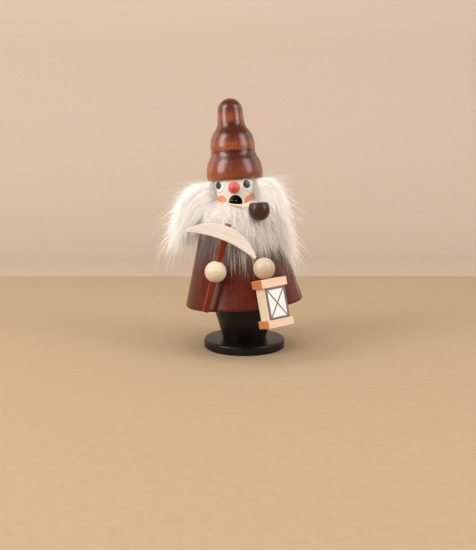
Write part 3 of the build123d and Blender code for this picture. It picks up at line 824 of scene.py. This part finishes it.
class Mane:
    """A side mane: hair rooted on the hide beside the face, laid between guide curves from top to tip.

    guides holds x and z of four control points a row; depths holds the middle y and the half depth at each
    control point. A path picks a row, a depth from front, -1, to back, 1, and a share of the length.
    """

    def __init__(self, guides, depths):
        self.rows = np.zeros((len(guides), 4, 3))
        self.rows[..., 0] = [[point[0] for point in row] for row in guides]
        self.rows[..., 2] = [[point[1] for point in row] for row in guides]
        self.rows[..., 1] = [y for y, half in depths]
        self.half = np.zeros_like(self.rows)
        self.half[..., 1] = [half for y, half in depths]

    def within(self, row, depth, t):
        """Points of the guides' own curves, moved by their share of the half depth."""
        return between(self.rows, row, t) + depth[..., None, None] * between(self.half, row, t)

    def path(self, row, depth, t):
        """Hair paths, their first points drawn on to the hide round the head."""
        hide_lift = 0.3
        paths = self.within(row, depth, t)
        root = self.within(row, depth, 0 * t[:, :1])
        around = np.hypot(root[..., 0], root[..., 1])
        surface = (head_surface(root[..., 2]) + hide_lift) / around
        seated = root * np.stack([surface, surface, np.ones_like(around)], axis=-1)
        return paths + (seated - root) * (1 - t[..., None]) ** 2

    def core(self, name, low, high, thickness, reach, material, replaces):
        """The dense hair inside: an ellipse of rows and depths carried along the mane, with combed locks."""
        rings, columns = 56, 640
        lock_depth, thinning, middle_tone, tone_depth = 0.16, 0.985, 0.62, 0.3
        turn = np.linspace(0, 2 * np.pi, columns, endpoint=False)[None, :]
        t = np.linspace(0, 1, rings)[:, None]
        narrow = np.sqrt(1 - thinning * t**3)
        relief = 1 + lock_depth * smooth(0.05, 0.5, t) * locks(turn, t, (17, 29, 47, 83))
        row = (low + high) / 2 + (high - low) / 2 * np.cos(turn) * narrow * relief
        depth = thickness * np.sin(turn) * narrow * relief
        share = np.broadcast_to(reach * (0.01 + 0.99 * t), row.shape)
        points = self.path(row.ravel(), depth.ravel(), share.reshape(-1, 1)).reshape(rings, columns, 3)
        tone = np.clip(middle_tone + tone_depth * locks(turn[0], 0 * turn[0], (61, 97, 139)), 0, 1)
        return tube_mesh(name, lay_hair(points, edge_gap), tone, material, replaces)

    def hair(self, name, depths, count, material, tufts=190):
        """Long hair in locks: each lock has its own length and its own drift away from the guides."""
        waves, wild_wanders, wander_else = (1.8, 0.75), (2, 8), 0.9
        row_spread, depth_spread, closing = 0.035, 0.09, 0.8
        shares, lock_shares, drifts, widths = (0.72, 1.0), (0.78, 1.05), (0.5, 4.4), (0.055, 0.095)
        wild_share, wild_width = 0.15, 0.05
        tuft, row_middles, row = tufted(count, tufts, 0.0, 1.0, row_spread)
        depth_middles = chance.uniform(*depths, tufts)
        depth = np.clip(depth_middles[tuft] + chance.normal(0, depth_spread, count), -1.05, 1.05)
        length = chance.uniform(*shares, count) * chance.uniform(*lock_shares, tufts)[tuft]
        t = np.linspace(0, 1, long_rings)[None, :]
        own = self.path(row, depth, t * length[:, None])
        tuft_path = self.path(row_middles[tuft], depth_middles[tuft], t * length[:, None])
        middle = self.path(np.full(count, 0.5), np.zeros(count), t * length[:, None])
        paths = own + (tuft_path - own) * (closing * t**1.3)[..., None]
        facing = unit(paths - middle + 1e-6)
        drift = unit(chance.normal(size=(tufts, 3))) * chance.uniform(*drifts, (tufts, 1))
        paths = paths + drift[tuft][:, None] * (t**1.7)[..., None]
        wild, wave, wander = often_wild(count, wild_share, *waves, wild_wanders, wander_else)
        paths = lay_hair(stray(paths, wave, wander), mane_gap)
        tone = tufted_tones(tuft, tufts, 0.58, 0.20, 0.20)
        width = np.where(wild, wild_width, chance.uniform(*widths, count))
        return hair_mesh(name, paths, facing, width, tone, material)

    def fringe(self, name, edge, count, material):
        """Short hair along the hide's front edge: half hangs like thatch, half bows outwards to the mane."""
        band, heights, lengths, widths = (0.0, 0.13), (56.5, 73.2), (2.0, 8.5), (0.05, 0.09)
        root_lift, hanging_share = -0.1, 0.5
        side = np.sign(edge)
        azimuth = math.radians(edge) + side * chance.uniform(*band, count)
        height = chance.uniform(*heights, count)
        root = on_head(azimuth, height, root_lift)
        outward, aside = level_ways(azimuth)
        hangs = (chance.random(count) < hanging_share)[:, None]
        slant = np.where(hangs, -0.75, -0.45) + chance.normal(0, 0.3, (count, 1))
        down = np.where(hangs, -1.0, -0.40) * np.array((0, 0, 1.0))
        out = outward * np.where(hangs, 0.3, 0.65)
        way = unit(out + side * aside * slant + down + chance.normal(0, 0.2, (count, 3)))
        length = (chance.uniform(*lengths, count) * np.where(hangs[:, 0], 0.7, 1.0))[:, None, None]
        sweep = np.where(hangs, 0.25, 0.8)[:, None] * np.array((side, 0, -0.4))
        bend = sweep + chance.normal(0, 0.2, (count, 1, 3))
        paths = lay_hair(bowed(root, way, length, bend, 0.5, 0.9), edge_gap)
        paths[:, 0] = root
        facing = np.broadcast_to(unit(outward + (0, -0.6, 0))[:, None], paths.shape)
        tone = tones(count, 0.65, 0.22)
        return hair_mesh(name, paths, facing, chance.uniform(*widths, count), tone, material)

    def fuzz(self, name, count, material):
        """Short hair that leaves the mane all along it, at a slant to the locks, and droops."""
        skin, shares, slants, widths = (0.75, 1.0), (0.02, 0.9), (0.1, 0.75), (0.04, 0.075)
        shortest, longest, droop = 3, 22, -0.28
        turn = chance.uniform(0, 2 * np.pi, count)
        row = np.clip(0.5 + 0.5 * np.cos(turn) * chance.uniform(*skin, count), 0, 1)
        depth = np.sin(turn) * chance.uniform(*skin, count)
        share = chance.uniform(*shares, count)[:, None]
        root = self.path(row, depth, share)[:, 0]
        flow = unit(self.path(row, depth, share + 0.05)[:, 0] - root)
        middle = self.path(np.full(count, 0.5), 0 * row, share)[:, 0]
        outward = unit(root - middle)
        out = outward * chance.uniform(*slants, (count, 1))
        way = unit(flow + out + chance.normal(0, 0.28, (count, 3)))
        length = chance.gamma(4.0, 2.3, count).clip(shortest, longest)[:, None, None]
        paths = bowed(root, way, length, np.array((0, 0, droop)), 0.7, 1.2)
        tone = tones(count, 0.65, 0.2)
        facing = np.broadcast_to(outward[:, None], paths.shape)
        width = chance.uniform(*widths, count)
        return hair_mesh(name, lay_hair(paths, mane_gap), facing, width, tone, material)


def beside_mouth(paths):
    """Which hairs leave the smoke hole open: none of their points stands before its middle or upper part."""
    lowest = -1.5
    aside, up, front = paths[..., 0], paths[..., 2] - mouth_height, paths[..., 1] < 0
    before = (np.hypot(aside, up) < mouth_radius) & (up > lowest) & front
    return ~before.any(axis=1)


class Collar:
    """Fur round the chin or the nape, which leaves the hide outwards, bends over and hangs down the coat.

    In the plane through the axis and the root, the four control points of a hair are its root, a point
    further out, a point over the coat's shoulder and its tip. A layer runs from nought, next to the coat,
    to one, outermost; lift is the least and greatest height over the coat, bulge how far the second point
    stands out, side_rise how much higher the roots lie at the ends of the span than at its middle, and
    reach how much further out the fur hangs.
    """

    def __init__(self, azimuths, roots, lift, bulge, side_rise=0.0, reach=None):
        self.low, self.high = (math.radians(a) for a in azimuths)
        self.roots, self.lift, self.bulge = roots, lift, bulge
        self.side_rise, self.reach = side_rise, reach

    def path(self, turn, turn_end, layer, root_height, tip_height, t):
        """Hair paths from an azimuth at the root to one at the tip.

        The first bend stands out from the root by the bulge, the second over the coat by the lift, and what
        reach adds grows from three tenths at the first to all of it at the tip.
        """
        hide_lift, bend_share, lowest_bend, highest_bend = 0.4, 0.42, 40, 46
        lift = self.lift[0] + (self.lift[1] - self.lift[0]) * layer
        extra = self.reach(turn) if self.reach else 0 * turn
        half = (self.high - self.low) / 2
        root_height = root_height + self.side_rise * np.abs((turn - self.low) / half - 1) ** 2
        root_radius = head_surface(root_height) + hide_lift
        shoulder = np.maximum(tip_height + bend_share * (root_height - tip_height), lowest_bend)
        radii = np.stack([root_radius, root_radius + self.bulge * (0.5 + layer) + 0.3 * extra,
                          coat_surface(np.minimum(shoulder, highest_bend)) + lift + 0.8 * extra,
                          coat_surface(tip_height) + 0.7 * lift + extra], axis=-1)
        levels = np.stack([root_height, root_height + 0.6 * layer - 1.4, shoulder, tip_height], axis=-1)
        section = along_curve(np.stack([radii, levels, 0 * radii], axis=-1), t)
        azimuth = turn[:, None] + (turn_end - turn)[:, None] * t**1.4
        return from_axis(azimuth, section[..., 0], section[..., 1])

    def across(self, turn, ends):
        """A value that passes from its first end, on the figure's right, to its second, on the left."""
        first, second = ends
        return first + (second - first) * smooth(-0.5, 0.15, turn)

    def core(self, name, tip_heights, layer, material, replaces):
        """The dense hair inside: an outer skin at one layer, shut along the coat and at both ends."""
        columns, rings = 260, 28
        lock_depth, tip_sway, inner_layer, tone = 0.13, 2.2, -0.35, 0.6
        turn = np.linspace(self.low, self.high, columns)
        across = np.linspace(-1, 1, columns)[:, None]
        t = np.linspace(0, 1, rings)[None, :]
        thick = np.sqrt(1 - 0.99 * across**6) * np.sqrt(1 - 0.97 * t**4)
        tips = self.across(turn, tip_heights) + tip_sway * locks(turn, 0 * turn, (19, 43, 71))
        outer = self.path(turn, turn, np.full(columns, layer), np.full(columns, self.roots[1]), tips, t)
        inner = self.path(turn, turn, np.full(columns, inner_layer), np.full(columns, self.roots[0]), tips, t)
        relief = 1 + lock_depth * smooth(0.1, 0.5, t) * locks(turn[:, None], t, (83, 139, 211))
        outer = inner + (outer - inner) * (thick * relief)[..., None]
        ring = np.concatenate([outer, inner[:, ::-1]], axis=1)
        return tube_mesh(name, lay_hair(ring, skin_gap), np.full(2 * rings, tone), material, replaces)

    def hair(self, name, tips, count, material, widths=(0.06, 0.10), wildness=0.08, tufts=150, layers=(0, 1)):
        """Long hair in locks: each lock has its own tip height, and its hairs close up to it.

        tips holds the least and the greatest tip height, each on the figure's right and on its left.
        """
        waves, wild_wanders, wander_else = (1.6, 0.5), (1, 6), 0.5
        turn_spread, layer_spread, tip_spread, end_spread, closing = 0.035, 0.12, 1.8, 0.07, 0.75
        tuft, turn_middles, turn = tufted(count, tufts, self.low, self.high, turn_spread)
        least, most = (self.across(turn_middles, ends) for ends in tips)
        layer = chance.uniform(*layers, count)
        root_share = np.clip(layer + chance.normal(0, layer_spread, count), 0, 1)
        root_height = self.roots[0] + (self.roots[1] - self.roots[0]) * root_share
        tip_height = (least + (most - least) * chance.random(tufts))[tuft]
        tip_height = tip_height + chance.normal(0, tip_spread, count)
        t = np.linspace(0, 1, long_rings)[None, :]
        lock_end = turn_middles + chance.normal(0, end_spread, tufts)
        leaning = turn + closing * (lock_end[tuft] - turn)
        paths = self.path(turn, leaning, layer, root_height, tip_height, t)
        facing = unit(paths * (1, 1, 0) + (0, 0, 7.0))
        _, wave, wander = often_wild(count, wildness, *waves, wild_wanders, wander_else)
        paths = lay_hair(stray(paths, wave, wander), collar_gap)
        tone = tufted_tones(tuft, tufts, 0.5, 0.22, 0.18)
        width = chance.uniform(*widths, count)
        kept = beside_mouth(paths)
        return hair_mesh(name, paths[kept], facing[kept], width[kept], tone[kept], material)


def lip_hair(name, count, material):
    """Short hair beside the mouth: it leaves the face above the stem's end and falls forwards over it."""
    azimuths, heights, slants, lengths = (-34.0, -19.5), (58.9, 60.3), (-0.4, 0.38), (3.0, 6.5)
    root_lift, droop, widths = 0.1, -0.75, (0.05, 0.08)
    azimuth = np.radians(chance.uniform(*azimuths, count))
    height = chance.uniform(*heights, count) - 0.5 * smooth(-0.45, -0.35, azimuth)
    root = on_head(azimuth, height, root_lift)
    outward, aside = level_ways(azimuth)
    slant = chance.uniform(*slants, (count, 1))
    way = unit(outward * 0.8 + aside * slant + (0, 0, -0.42) + chance.normal(0, 0.10, (count, 3)))
    length = chance.uniform(*lengths, count)[:, None, None]
    paths = bowed(root, way, length, np.array((0, 0, droop)), 0.3, 0.5)
    facing = np.broadcast_to(unit(outward + (0, 0, 1.0))[:, None], paths.shape)
    tone = tones(count, 0.5, 0.25)
    width = chance.uniform(*widths, count)
    return hair_mesh(name, lay_hair(paths, mouth_gap), facing, width, tone, material)


def mouth_wisps(name, count, material):
    """A few loose hairs that bow across the smoke hole, all of one width and tone."""
    azimuths, heights, lengths, root_lift = (-22.0, -18.0), (59.2, 61.5), (6.0, 9.5), 0.1
    rings, half_width, tone = 9, 0.024, 0.4
    azimuth = np.radians(chance.uniform(*azimuths, count))
    height = chance.uniform(*heights, count)
    root = on_head(azimuth, height, root_lift)
    way = unit(np.array((0.9, -0.45, 0.15)) + chance.normal(0, 0.2, (count, 3)))
    length = chance.uniform(*lengths, count)[:, None, None]
    bend = np.array((0, 0.12, -0.45)) * chance.uniform(0.3, 1.0, (count, 1, 1))
    paths = lay_hair(bowed(root, way, length, bend, 0.4, 0.5, rings), mouth_gap)
    facing = np.broadcast_to(np.array((0.0, -1.0, 0.3)), paths.shape)
    return hair_mesh(name, paths, facing, np.full(count, half_width), np.full(count, tone), material)


# Carried parts get their finishes

def dress():
    """Gives every hard node of the part its finish."""
    finishes = {
        black_stain(): ("base_disc", "legs"), coat_stain(): ("coat",), hat_stain(): ("hat",),
        head_wood(): ("head",), nose_paint(): ("nose",), hand_wood(): ("hand_right", "hand_left"),
        peg_wood(): ("hand_peg_right", "hand_peg_left", "lantern_peg"), handle_wood(): ("pick_handle",),
        blade_wood(): ("pick_blade",), lantern_wood(): ("lantern_top", "lantern_bottom"),
        lantern_core_wood(): ("lantern_body",), window_print(): ("lantern_window",),
        bowl_lacquer(): ("pipe_bowl",), stem_wood(): ("pipe_stem",), hide_leather(): ("fur_hide",),
        dish_metal(): ("incense_plate", "plate_tack")}
    for material, names in finishes.items():
        for name in names:
            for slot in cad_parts[name].material_slots:
                slot.material = material


dress()

# Face

eye_white = brush_paint("eye_white", (0.66, 0.65, 0.63), (0.74, 0.73, 0.71), 0.35)
eye_black = brush_paint("eye_black", (0.014, 0.014, 0.016), (0.036, 0.036, 0.040), 0.36)
cheek_orange = brush_paint("cheek_orange", (0.78, 0.34, 0.155), (0.70, 0.20, 0.11), 0.55, 1.6)
dab("eye_white_right", -42.0, 69.3, 8.0, 7.6, 0, eye_white, 0.11)
dab("eye_white_left", 35.2, 68.5, 8.2, 7.8, 0, eye_white, 0.11)
dab("pupil_right", -43.4, 69.9, 4.7, 4.8, 0, eye_black, 0.26)
dab("pupil_left", 27.6, 69.4, 4.6, 4.8, 0, eye_black, 0.26)
dab("cheek_right", -39.5, 61.4, 6.6, 5.8, 0, cheek_orange, 0.08)
dab("cheek_left_upper", 37.0, 62.3, 3.6, 4.6, -40, cheek_orange, 0.08)
dab("cheek_left_lower", 27.5, 61.0, 3.0, 4.8, -30, cheek_orange, 0.08)

# Fur round the face

cream_fur = fur_finish("cream_fur", (0.93, 0.88, 0.78), (
    (0.05, (0.80, 0.73, 0.62)), (0.38, (0.945, 0.920, 0.875)), (0.8, (0.985, 0.983, 0.975))))
# A darker, warmer copy of the cream fur for the mane on the figure's left, away from the key light: partly a
# warmer tone, partly painted shade
warm_shaded_fur = fur_finish("warm_shaded_fur", (0.91, 0.84, 0.73), (
    (0.05, (0.74, 0.66, 0.55)), (0.38, (0.925, 0.888, 0.830)), (0.8, (0.978, 0.965, 0.942))))
beard_fur = fur_finish("beard_fur", (0.86, 0.79, 0.68), (
    (0.05, (0.66, 0.59, 0.51)), (0.4, (0.86, 0.81, 0.74)), (0.85, (0.94, 0.92, 0.88))))
grey_fur = fur_finish("grey_fur", (0.72, 0.64, 0.53), (
    (0.16, (0.12, 0.085, 0.07)), (0.36, (0.58, 0.50, 0.43)), (0.7, (0.90, 0.85, 0.78))))
under_fur = fur_finish("under_fur", (0.20, 0.12, 0.085), (
    (0.1, (0.035, 0.020, 0.015)), (0.6, (0.095, 0.060, 0.046)), (0.93, (0.50, 0.42, 0.36))))

# Guide rows from the top of a mane to its inner edge: x and z of root, two bends and tip
mane_right_guides = (
    ((-14.5, 71.4), (-23.8, 73.3), (-31.8, 67.0), (-36.3, 52.4)),
    ((-14.5, 69.0), (-23.8, 70.3), (-33.9, 58.4), (-40.4, 40.6)),
    ((-14.5, 65.0), (-23.2, 65.2), (-33.2, 51.8), (-42.3, 33.6)),
    ((-14.5, 61.0), (-20.6, 61.6), (-29.9, 51.2), (-40.2, 36.6)),
    ((-14.0, 58.0), (-18.3, 58.3), (-26.0, 51.6), (-35.9, 41.1)),
    ((-13.5, 56.0), (-16.4, 55.4), (-21.9, 50.3), (-29.2, 44.3)))
mane_left_guides = (
    ((14.2, 71.4), (20.8, 73.8), (25.3, 68.3), (26.9, 56.2)),
    ((14.2, 69.5), (21.2, 70.7), (25.9, 60.2), (28.2, 42.6)),
    ((14.2, 66.0), (20.4, 65.9), (25.6, 51.0), (32.7, 27.5)),
    ((14.2, 62.0), (19.0, 61.1), (24.7, 44.0), (34.1, 19.5)),
    ((13.5, 58.5), (16.6, 55.3), (21.9, 42.0), (28.7, 22.0)),
    ((13.0, 56.0), (15.3, 51.0), (18.8, 40.0), (23.5, 25.0)))
mane_right_depths = ((0.4, 9.2), (-0.5, 11.5), (-2.5, 8.5), (-3.5, 4.5))
mane_left_depths = ((-0.6, 10.2), (-0.5, 11.5), (-2.5, 8.5), (-3.5, 4.5))

for side, guides, depths, fur, edge, node in (
        ("right", mane_right_guides, mane_right_depths, cream_fur, -63.0, "fur_side_right"),
        ("left", mane_left_guides, mane_left_depths, warm_shaded_fur, 54.0, "fur_side_left")):
    made = Mane(guides, depths)
    made.core("mane_core_" + side, 0.14, 0.86, 0.62, 0.72, fur, (node,))
    made.hair("mane_front_" + side, (-1.0, 0.0), 4800, fur)
    made.hair("mane_back_" + side, (0.0, 1.0), 3600, fur)
    made.fuzz("mane_fuzz_" + side, 3000, fur)
    made.fringe("mane_fringe_" + side, edge, 2600, fur)


def nape_reach(turn):
    """How much further out the nape's fur hangs near the manes, as their tips do."""
    return 7.0 * smooth(math.radians(20), math.radians(80), np.abs(turn - np.pi))


beard = Collar((-58, 60), (54.8, 58.0), (0.4, 3.0), 2.0, 4.2)
beard.core("beard_core", (50.5, 44.5), 0.2, beard_fur, ("fur_beard",))
beard.hair("beard_cream", ((43, 32), (53, 49)), 5600, beard_fur, layers=(0.2, 1))
lip_hair("beard_lip", 480, beard_fur)
mouth_wisps("mouth_wisps", 3, beard_fur)
Collar((-2, 62), (54.8, 57.4), (0.8, 2.8), 2.0, 3.0).hair(
    "beard_grey", ((26, 26), (43, 43)), 3000, grey_fur, wildness=0.14, tufts=190)
Collar((-62, 60), (54.8, 56.5), (0.3, 1.4), 1.4, 2.0).hair(
    "beard_under", ((20, 14), (44, 38)), 2300, under_fur, (0.04, 0.06), 0.28, 190)
Collar((-24, 12), (54.8, 56.5), (1.2, 2.4), 1.6).hair(
    "beard_strands", ((14, 16), (30, 34)), 130, beard_fur, (0.05, 0.07), 0.3, 26)
nape_values = ((55.5, 71.6), (1.5, 5.5), 5.0, 0.0, nape_reach)
Collar((98, 262), *nape_values).core("nape_core", (44.0, 44.0), 0.6, cream_fur, ("fur_back",))
for side, azimuths in (("right", (180, 262)), ("left", (98, 180))):
    Collar(azimuths, *nape_values).hair(
        "nape_hair_" + side, ((32, 32), (45, 45)), 4000, cream_fur, layers=(0.3, 1))


# Room

def paper_floor():
    """A tan sheet under the figure, and a paler one behind it that is swept up into a wall; the paler sheet
    is painted lighter as it rises and towards the right, as painted light.
    """
    width, depth, join_at, wall_at, sweep, height = 4.0, 2.4, 0.252, 0.62, 0.26, 2.2
    sweep_steps = 33
    turn = np.linspace(0, np.pi / 2, sweep_steps)
    y = np.concatenate([[-depth, join_at], wall_at - sweep + sweep * np.sin(turn), [wall_at]])
    z = np.concatenate([[0, 0], sweep - sweep * np.cos(turn), [height]])
    edges = (-width / 2, width / 2)
    points = np.concatenate([np.stack([np.full_like(y, x), y, z], axis=-1) for x in edges])
    row = np.arange(len(y) - 1)
    quads = np.stack([row, len(y) + row, len(y) + row + 1, row + 1], axis=-1)
    mesh = bpy.data.meshes.new("floor")
    mesh.from_pydata(points.tolist(), [], quads.tolist())
    mesh.polygons.foreach_set("use_smooth", np.ones(len(quads), dtype=bool))
    floor = bpy.data.objects.new("floor", mesh)
    bpy.context.scene.collection.objects.link(floor)
    f = Finish("floor_paper", Roughness=0.9, Specular_IOR_Level=0.2)
    across, away, level = (f.axis(f.place(), letter) for letter in "XYZ")
    specks = f.noise(f.place(), 0.25, 4)
    tan = f.ramp(specks, (0.3, (0.374, 0.268, 0.164)), (0.7, (0.400, 0.289, 0.179)))
    pale = f.ramp(specks, (0.3, (0.440, 0.342, 0.258)), (0.7, (0.466, 0.364, 0.276)))
    painted_light_paper = f.ramp(specks, (0.3, (0.562, 0.460, 0.366)), (0.7, (0.582, 0.478, 0.382)))
    painted_light_height, painted_light_aside, seam, soft = 330, 420, join_at / mm, 2.0
    # Painted light: the paler sheet gets lighter up the sweep and wall, and towards the right
    pale = f.blend(f.span(level, 0, painted_light_height), pale, painted_light_paper)
    pale = f.blend(f.span(across, 0, painted_light_aside, 0, 0.12), pale, (0.56, 0.457, 0.362))
    colour = f.blend(f.span(away, seam - soft, seam + soft), tan, pale)
    mesh.materials.append(f.done(colour, specks, 0.05))


def soft_box(name, azimuth, elevation, distance, wide, high, energy, mirrored=True):
    """An area light on a sphere about the figure, facing it, its azimuth measured from the front."""
    light = bpy.data.lights.new(name, "AREA")
    light.shape = "RECTANGLE"
    light.size, light.size_y = wide, high
    light.energy = energy
    light.color = (1.0, 0.98, 0.96)
    lamp = bpy.data.objects.new(name, light)
    a, e = math.radians(azimuth), math.radians(elevation)
    way = Vector((math.sin(a) * math.cos(e), -math.cos(a) * math.cos(e), math.sin(e)))
    lamp.location = way * distance
    lamp.location.z += light_target
    lamp.rotation_euler = way.to_track_quat("Z", "Y").to_euler()
    lamp.visible_camera = False
    lamp.visible_glossy = mirrored
    bpy.context.scene.collection.objects.link(lamp)


def room():
    """The papers, the soft boxes round the figure, and the room's own dim light."""
    paper_floor()
    soft_box("left_box", -60, 29, 0.85, 0.42, 0.72, 6.4)
    soft_box("right_box", 63, 29, 0.85, 0.38, 0.72, 4.0)
    soft_box("left_back_box", -114, 22, 0.85, 0.46, 0.60, 0.9)
    soft_box("right_back_box", 114, 22, 0.85, 0.46, 0.60, 0.8)
    soft_box("front_box", -4, 27, 0.95, 0.60, 0.50, 2.0, False)
    soft_box("top_box", 0, 84, 1.2, 1.2, 1.2, 8.4, False)
    world = bpy.data.worlds.new("room")
    bpy.context.scene.world = world
    world.use_nodes = True
    background = world.node_tree.nodes["Background"]
    background.inputs["Color"].default_value = room_colour
    background.inputs["Strength"].default_value = room_strength
    world.cycles_visibility.glossy = False
    bpy.context.scene.view_settings.view_transform = "Standard"
    bpy.context.scene.cycles.diffuse_bounces = 12


def camera():
    """The photograph's viewpoint: a short telephoto a little above the figure."""
    data = bpy.data.cameras.new("camera")
    data.lens, data.sensor_width = camera_lens, 36.0
    data.clip_start, data.clip_end = 0.01, 10.0
    eye = bpy.data.objects.new("camera", data)
    eye.location = camera_place
    eye.rotation_euler = (math.radians(90 - camera_pitch), 0, 0)
    bpy.context.scene.collection.objects.link(eye)
    bpy.context.scene.camera = eye


room()
camera()
